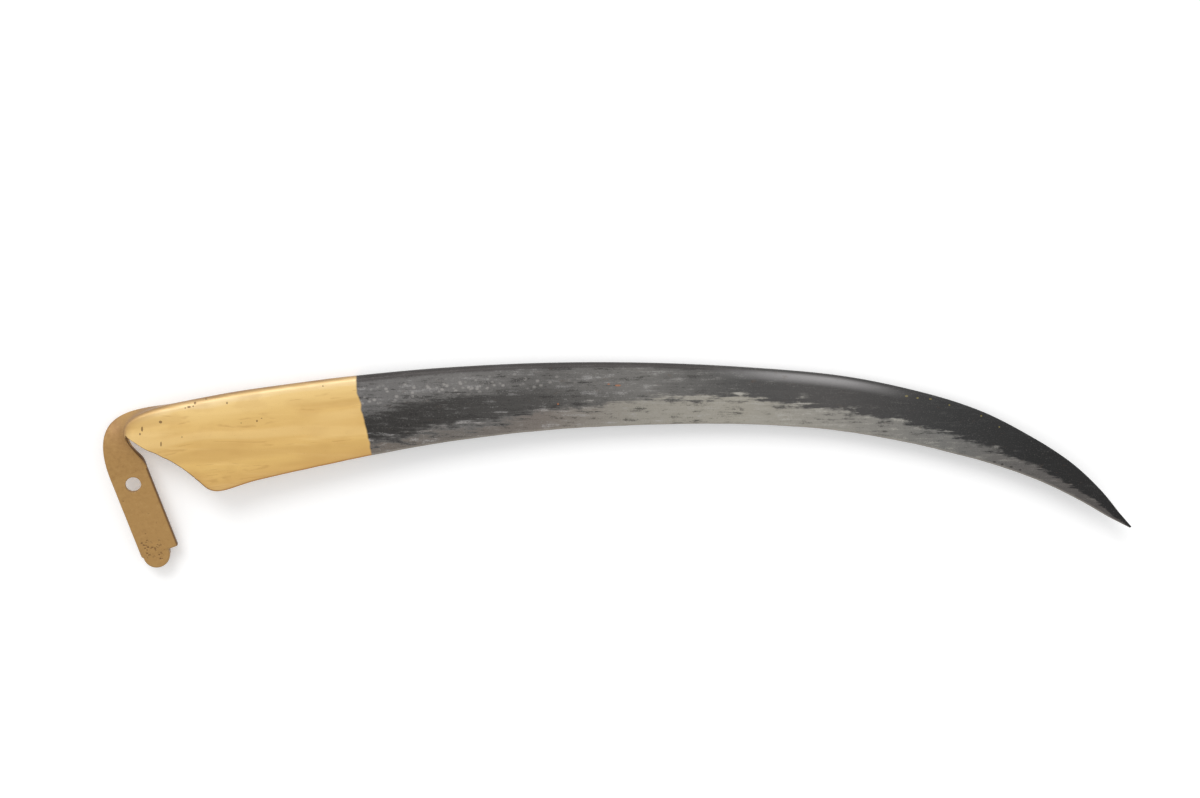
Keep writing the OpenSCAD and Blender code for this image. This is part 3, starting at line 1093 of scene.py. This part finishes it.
# Marks seen in the photo: x, y, half length and half width in the blade's frame
CHIPS = [
    (7.7, 37.1, 0.8, 1.9), (6.3, 33.7, 0.6, 1.0), (20.2, 41.9, 1.3, 1.1), (20.6, 26.9, 0.6, 1.9),
    (39.6, 52.1, 1.3, 0.8), (43.6, 54.8, 0.9, 1.1), (42.4, 52.6, 0.6, 0.6), (65.4, 54.8, 0.7, 0.9),
    (34.8, 31.7, 0.4, 0.6), (85.7, 42.6, 0.7, 0.9), (88.9, 44.4, 0.6, 0.4), (130.5, 66.3, 0.5, 0.6),
    (51.0, 57.5, 0.9, 0.4), (37.0, 51.4, 0.5, 0.5), (75.0, 41.2, 0.5, 0.4),
]
KNOB_WEAR = [(11.8, -44.5, 10.0, 9.0)]
ORANGE_FLECKS = [(330.8, 66.7, 2.2, 0.7), (324.5, 67.6, 1.0, 0.5), (290.1, 54.1, 0.7, 0.7)]
YELLOW_FLECKS = [
    (527.0, 59.5, 1.2, 0.6), (534.5, 58.2, 0.9, 0.6), (543.3, 57.5, 1.0, 0.5),
    (556.2, 53.4, 0.7, 0.5), (577.9, 46.0, 0.7, 0.6), (590.2, 38.5, 0.6, 0.5),
]
NICKS = [(586.8, 14.7, 1.2, 0.6), (592.2, 13.0, 1.0, 0.8), (598.3, 11.3, 1.3, 0.6), (604.4, 9.3, 1.0, 0.6)]


def lacquer_colour(g, place, station, depth, from_edge, flank, ripple):
    """Gold-bronze lacquer, chipped to dark steel, with painted light: a painted highlight band under the
    back, painted shade towards the edge, on the bar, on its shaded sides and in the ripples' troughs.
    """
    streaks = g.noise(g.scaled(place, 1 / 45, 1 / 4.2, 0), 4, 0.55)
    clouds = g.noise(g.scaled(place, 1 / 20, 1 / 11, 0.05), 2, 0.5)
    shifted = g.plus(depth, g.times(g.math("SUBTRACT", streaks, 0.5), 0.10))
    # Across the blade: a painted dark line on the back where it turns away, a painted highlight band just
    # under it, and painted shade deepening towards the edge
    gold_painted_light = g.ramp(shifted, [
        (0.0, srgb(165, 126, 78)), (0.03, srgb(226, 190, 132)), (0.065, srgb(247, 219, 167)),
        (0.13, srgb(234, 199, 131)), (0.3, srgb(222, 184, 113)), (0.55, srgb(215, 175, 104)),
        (0.8, srgb(219, 180, 107)), (0.95, srgb(208, 167, 98)), (1.0, srgb(190, 150, 88)),
    ])
    # On the neck the painted highlight band is left out; a painted dark line stays at the back
    plain = g.ramp(depth, [
        (0.0, srgb(190, 151, 94)), (0.12, srgb(222, 185, 117)), (1.0, srgb(214, 175, 106)),
    ])
    gold = g.mix(g.rise(station, -2.6, 0.4), plain, gold_painted_light)
    gold = g.mix(g.times(g.rise(clouds, 0.45, 0.7), 0.25), gold, srgb(194, 150, 84))
    gold = g.mix(g.times(g.rise(streaks, 0.52, 0.72), 0.22), gold, srgb(240, 206, 142))
    # Painted highlight on the ripples' crests and painted shade in their troughs, in step with the ripples
    # in the shape
    gold = g.mix(g.times(g.rise(ripple, 0.05, 0.6), 0.30), gold, srgb(240, 207, 143))
    gold = g.mix(g.times(g.fall(ripple, -0.6, -0.05), 0.36), gold, srgb(188, 146, 80))
    # Painted shade: broken dark lines along the ripples' slopes
    broken = g.noise(g.scaled(place, 1 / 16, 1 / 5, 0), 2, 0.5)
    painted_fold_shade = g.fall(g.math("ABSOLUTE", g.plus(ripple, 0.12)), 0.0, 0.09)
    gold = g.mix(g.times(painted_fold_shade, g.rise(broken, 0.46, 0.58), 0.36), gold, srgb(172, 128, 68))
    # The bar, tang and neck are a darker gold as painted shade, for faces that tilt away from the light;
    # the mottling on them is the lacquer's own
    bar = g.ramp(g.rise(station, -7.5, -2.0), [
        (0.0, srgb(170, 131, 77)), (0.45, srgb(160, 122, 75)), (1.0, srgb(148, 117, 86)),
    ])
    mottled = g.noise(g.scaled(place, 1 / 2.6, 1 / 2.6, 1 / 2.6), 4, 0.65)
    bar = g.mix(g.times(g.rise(mottled, 0.50, 0.68), 0.35), bar, srgb(184, 147, 92))
    bar = g.mix(g.times(g.fall(mottled, 0.34, 0.48), 0.35), bar, srgb(144, 106, 62))
    colour = g.mix(g.rise(depth, -0.02, 0.055), bar, gold)
    # Painted shade on the shaded sides of the bar, tang and knob
    colour = g.mix(g.times(flank, 0.85), colour, srgb(98, 66, 38))
    rim = g.fall(from_edge, 0.4, 1.3)
    rim_colour = g.mix(g.rise(station, 0.2, 1.2), srgb(98, 62, 36), srgb(158, 112, 62))
    colour = g.mix(g.times(rim, 0.8), colour, rim_colour)
    grain = g.noise(g.scaled(place, 2.2, 2.2, 2.2), 2, 0.6)
    colour = g.mix(g.times(g.rise(grain, 0.62, 0.78), 0.35), colour, srgb(120, 86, 50))
    ragged = g.noise(g.scaled(place, 1.1, 1.1, 1.1), 3, 0.7)
    bitten = g.plus(g.spots(place, CHIPS), g.times(g.math("SUBTRACT", ragged, 0.5), 1.6))
    bitten = g.rise(bitten, 0.5, 0.75)
    eaten = g.times(g.spots(place, KNOB_WEAR), g.rise(mottled, 0.53, 0.62), g.rise(ragged, 0.44, 0.56))
    pitted = g.math("MAXIMUM", g.fall(station, k_tang - 1.75, k_tang - 1.35), eaten)
    bare = g.math("MAXIMUM", bitten, pitted)
    return g.mix(g.times(bare, 0.72), colour, srgb(88, 61, 38)), bare


def steel_colour(g, place, depth, from_edge, faces_up):
    """Forged steel: a dark band of scale along the middle of the web near the lacquer, a ground zone
    towards the edge, hammer marks with painted glints, painted shade on the rib's bend by the back with a
    painted highlight under it, and tones along the blade that are partly painted reflection.
    """
    apart = g.node("ShaderNodeSeparateXYZ")
    g.feed(apart.inputs[0], place)
    reach = g.math("DIVIDE", g.math("SUBTRACT", apart.outputs[0], heel_out), blade_reach)
    wander = g.math("SUBTRACT", g.noise(g.scaled(place, 1 / 38, 1 / 7, 0), 4, 0.6), 0.5)
    # Along the blade the tones step lighter and darker and fall towards the point: partly the steel's own
    # scale and grind, partly painted reflection
    high = g.ramp(reach, [
        (0.18, srgb(104, 102, 101)), (0.29, srgb(110, 108, 106)), (0.38, srgb(94, 92, 90)),
        (0.48, srgb(110, 108, 105)), (0.59, srgb(76, 75, 74)), (0.68, srgb(76, 74, 73)),
        (0.80, srgb(52, 52, 52)), (0.90, srgb(36, 36, 36)), (1.0, srgb(32, 31, 31)),
    ])
    low = g.ramp(reach, [
        (0.18, srgb(106, 98, 90)), (0.29, srgb(102, 97, 92)), (0.38, srgb(112, 105, 99)),
        (0.48, srgb(142, 138, 129)), (0.59, srgb(150, 146, 136)), (0.68, srgb(140, 137, 130)),
        (0.80, srgb(110, 109, 106)), (0.90, srgb(90, 87, 85)), (1.0, srgb(72, 68, 66)),
    ])
    border = g.ramp(reach, [
        (0.18, level(0.86)), (0.29, level(0.86)), (0.38, level(0.74)), (0.48, level(0.60)),
        (0.59, level(0.53)), (0.68, level(0.63)), (0.80, level(0.66)), (0.90, level(0.62)),
        (1.0, level(0.6)),
    ])
    brushed = g.noise(g.scaled(place, 1 / 30, 1 / 2.4, 0), 6, 0.72)
    patchy = g.noise(g.scaled(place, 1 / 11, 1 / 4.6, 0.1), 5, 0.68)
    speckle = g.noise(g.scaled(place, 1.3, 1.7, 1.3), 3, 0.65)
    worn = g.plus(brushed, g.times(g.math("SUBTRACT", patchy, 0.5), 0.8))
    feathered = g.plus(g.times(wander, 0.30), g.times(g.math("SUBTRACT", worn, 0.5), 0.55))
    ground = g.rise(g.plus(g.math("SUBTRACT", depth, border), feathered), -0.05, 0.06)
    colour = g.mix(ground, high, low)
    middle = g.ramp(reach, [
        (0.18, level(0.66)), (0.27, level(0.60)), (0.38, level(0.54)), (0.5, level(0.58)),
    ])
    half = g.ramp(reach, [
        (0.18, level(0.19)), (0.27, level(0.22)), (0.38, level(0.15)), (0.5, level(0.05)),
    ])
    away = g.math("ABSOLUTE", g.plus(g.math("SUBTRACT", depth, middle), g.times(feathered, 0.9)))
    strong = g.ramp(reach, [(0.18, level(1)), (0.29, level(0.9)), (0.38, level(0.55)), (0.5, level(0))])
    scale = g.times(g.fall(g.math("DIVIDE", away, half), 0.6, 1.4), strong)
    colour = g.mix(g.times(scale, 0.92), colour, srgb(36, 34, 32))
    clear = g.math("SUBTRACT", 1.0, g.times(scale, 0.7))
    # Painted glints: lighter spots in rows of hammer marks near the heel
    marks = g.cells(g.scaled(place, 1 / 4.2, 1 / 3.2, 0))
    rows = g.times(g.rise(depth, 0.12, 0.2), g.fall(depth, 0.33, 0.42), g.fall(reach, 0.34, 0.46))
    colour = g.mix(g.times(g.fall(marks, 0.15, 0.42), rows, 0.55), colour, srgb(160, 156, 152))
    lively = g.math("MAXIMUM", g.fall(reach, 0.44, 0.66), g.times(ground, g.fall(reach, 0.70, 0.95)))
    lively = g.plus(0.18, g.times(0.82, lively))
    bright = g.mix(g.rise(reach, 0.4, 0.8), srgb(158, 156, 155), srgb(176, 173, 164))
    bright = g.mix(g.times(g.rise(reach, 0.6, 0.9), g.math("SUBTRACT", 1.0, ground)),
                   bright, srgb(92, 92, 92))
    fibre = g.plus(worn, g.times(g.math("SUBTRACT", speckle, 0.5), 0.35))
    colour = g.mix(g.times(g.rise(fibre, 0.54, 0.74), lively, clear, 0.62), colour, bright)
    colour = g.mix(g.times(g.fall(fibre, 0.28, 0.46), lively, 0.70), colour, srgb(36, 34, 33))
    # Painted shade: the rib's bend by the back is darkened where it turns away from the light
    bend = g.fall(g.plus(depth, g.times(wander, 0.03)), 0.065, 0.105)
    colour = g.mix(g.times(bend, g.fall(reach, 0.53, 0.62), 0.85), colour, srgb(62, 58, 57))
    # Painted highlight: a light band just under the darkened bend, towards the point
    painted_highlight = g.times(g.rise(depth, 0.03, 0.09), g.fall(depth, 0.10, 0.26),
                    g.rise(reach, 0.54, 0.66), g.fall(reach, 0.68, 0.78))
    colour = g.mix(g.times(painted_highlight, 0.60), colour, srgb(178, 176, 176))
    thin = g.fall(from_edge, 0.4, 1.6)
    colour = g.mix(g.times(thin, 0.55), colour, srgb(150, 144, 134))
    rust = g.noise(g.scaled(place, 1 / 7, 1 / 3, 0.2), 5, 0.65)
    colour = g.mix(g.times(g.rise(rust, 0.6, 0.75), 0.25), colour, srgb(96, 72, 54))
    colour = g.mix(g.times(g.spots(place, ORANGE_FLECKS), 0.45), colour, srgb(190, 112, 56))
    colour = g.mix(g.times(g.spots(place, YELLOW_FLECKS), 0.4), colour, srgb(176, 160, 92))
    colour = g.mix(g.times(g.spots(place, NICKS), 0.75), colour, srgb(46, 42, 40))
    colour = g.mix(g.times(g.rise(speckle, 0.55, 0.8), 0.22), colour, srgb(176, 172, 166))
    colour = g.mix(g.times(g.rise(g.math("SUBTRACT", 1.0, speckle), 0.55, 0.8), 0.3),
                   colour, srgb(34, 32, 31))
    hidden = g.mix(g.rise(g.noise(g.scaled(place, 1 / 9, 1 / 7, 0.1), 4, 0.6), 0.35, 0.7),
                   srgb(66, 64, 63), srgb(92, 90, 88))
    return g.mix(faces_up, hidden, colour)


def forging_material():
    material = bpy.data.materials.new("forging")
    material.use_nodes = True
    g = Graph(material.node_tree)
    place = g.fact("place")
    station, depth, from_edge = g.fact("station"), g.fact("depth"), g.fact("from_edge")
    faces_up, flank, ripple = g.fact("faces_up"), g.fact("flank"), g.fact("ripple")
    gold, bare = lacquer_colour(g, place, station, depth, from_edge, flank, ripple)
    steel = steel_colour(g, place, depth, from_edge, faces_up)
    waver = g.times(g.math("SUBTRACT", g.noise(g.scaled(place, 0, 1 / 13, 0), 2, 0.5), 0.5), 0.09)
    bare_steel = g.rise(g.plus(station, waver), k_lacquer - 0.02, k_lacquer + 0.012)
    covered = g.times(g.math("SUBTRACT", 1.0, bare_steel), g.math("SUBTRACT", 1.0, g.times(bare, 0.8)))
    shader = g.node("ShaderNodeBsdfPrincipled")
    g.feed(shader.inputs["Base Color"], g.mix(bare_steel, gold, steel))
    smear = g.noise(g.scaled(place, 1 / 12, 1 / 4, 0.1), 4, 0.6)
    rough = g.math("ADD", g.times(smear, 0.16), g.mix(covered, level(0.42), level(0.34)))
    g.feed(shader.inputs["Roughness"], rough)
    g.feed(shader.inputs["Metallic"], g.math("SUBTRACT", 0.5, g.times(covered, 0.32)))
    shader.inputs["Specular IOR Level"].default_value = 0.3
    hammered = g.cells(g.scaled(place, 1 / 3.6, 1 / 3.0, 0.3))
    grain = g.noise(g.scaled(place, 1.4, 2.4, 1.4), 4, 0.6)
    ticks = g.math("SINE", g.times(apart_x(g, place), 2 * math.pi / 2.1))
    ticks = g.times(ticks, g.fall(from_edge, 2.0, 4.2), bare_steel, 0.35)
    height = g.plus(g.times(hammered, 0.45, bare_steel), g.times(grain, 0.5))
    height = g.plus(g.plus(height, ticks), g.times(bare, -0.8))
    bump = g.node("ShaderNodeBump")
    bump.inputs["Strength"].default_value = 0.35
    bump.inputs["Distance"].default_value = 0.00025
    g.feed(bump.inputs["Height"], height)
    g.feed(shader.inputs["Normal"], bump.outputs[0])
    output = g.node("ShaderNodeOutputMaterial")
    g.feed(output.inputs["Surface"], shader.outputs[0])
    return material


def apart_x(g, vector):
    made = g.node("ShaderNodeSeparateXYZ")
    g.feed(made.inputs[0], vector)
    return made.outputs[0]


floor_glow = 0.24


def rays_to_the_eye(g):
    """Mask of rays that show the background: straight, reflected or through something clear."""
    rays = g.node("ShaderNodeLightPath")
    seen = g.math("MAXIMUM", rays.outputs["Is Camera Ray"], rays.outputs["Is Glossy Ray"])
    return g.math("MAXIMUM", seen, rays.outputs["Is Transmission Ray"])


def floor_material():
    material = bpy.data.materials.new("floor")
    material.use_nodes = True
    g = Graph(material.node_tree)
    shader = g.node("ShaderNodeBsdfDiffuse")
    shader.inputs["Color"].default_value = level(0.94)
    glow = g.node("ShaderNodeEmission")
    g.feed(glow.inputs["Strength"], g.times(rays_to_the_eye(g), floor_glow))
    both = g.node("ShaderNodeAddShader")
    g.feed(both.inputs[0], shader.outputs[0])
    g.feed(both.inputs[1], glow.outputs[0])
    output = g.node("ShaderNodeOutputMaterial")
    g.feed(output.inputs["Surface"], both.outputs[0])
    return material


def add_floor(height):
    half = 9.0
    mesh = bpy.data.meshes.new("floor")
    corners = [(-half, -half, height), (half, -half, height), (half, half, height), (-half, half, height)]
    mesh.from_pydata(corners, [], [(0, 1, 2, 3)])
    floor = bpy.data.objects.new("floor", mesh)
    floor.data.materials.append(floor_material())
    bpy.context.scene.collection.objects.link(floor)


# Light: an even pale room, brighter towards the back of the blade, and one soft lamp
room_low = 0.45
room_high = 0.8
lamp_strength = 1.02
lamp_angle = 30
LAMP_FROM = (-0.3, 0.75, 0.8)


def add_light():
    scene = bpy.context.scene
    world = bpy.data.worlds.new("room")
    scene.world = world
    world.use_nodes = True
    g = Graph(world.node_tree)
    way = g.node("ShaderNodeTexCoord").outputs["Generated"]
    apart = g.node("ShaderNodeSeparateXYZ")
    g.feed(apart.inputs[0], way)
    lean = g.plus(g.times(apart.outputs[1], 0.6), g.times(apart.outputs[2], 0.5))
    room = g.ramp(g.rise(lean, -0.5, 0.7), [(0.0, level(room_low)), (1.0, level(room_high))])
    colour = g.mix(rays_to_the_eye(g), room, level(1.0))
    background = g.node("ShaderNodeBackground")
    g.feed(background.inputs["Color"], colour)
    output = g.node("ShaderNodeOutputWorld")
    g.feed(output.inputs["Surface"], background.outputs[0])
    lamp = bpy.data.lights.new("lamp", "SUN")
    lamp.energy = lamp_strength
    lamp.angle = math.radians(lamp_angle)
    holder = bpy.data.objects.new("lamp", lamp)
    way_down = -unit(np.array(LAMP_FROM))
    holder.rotation_mode = "QUATERNION"
    holder.rotation_quaternion = Vector(way_down).to_track_quat("-Z", "Y")
    scene.collection.objects.link(holder)


# The photograph was taken square to the web with a long lens
lens_mm = 100.0
sensor_mm = 36.0
eye_height = 2262.7
EYE = np.array([318.6, 57.5, web_lift + eye_height])


def add_camera():
    camera = bpy.data.cameras.new("camera")
    camera.lens = lens_mm
    camera.sensor_width = sensor_mm
    camera.clip_start, camera.clip_end = 0.05, 40.0
    holder = bpy.data.objects.new("camera", camera)
    pose = Matrix(LAID_DOWN.tolist()).to_4x4()
    pose.translation = in_row(EYE)
    holder.matrix_world = pose
    bpy.context.scene.collection.objects.link(holder)
    bpy.context.scene.camera = holder


bpy.context.scene.view_settings.view_transform = "Standard"
pieces = forged_pieces() + [forged_tang(), forged_knob()]
forging = forging_material()
for piece in pieces:
    piece.data.materials.append(forging)
add_floor(cad_low.z)
add_light()
add_camera()
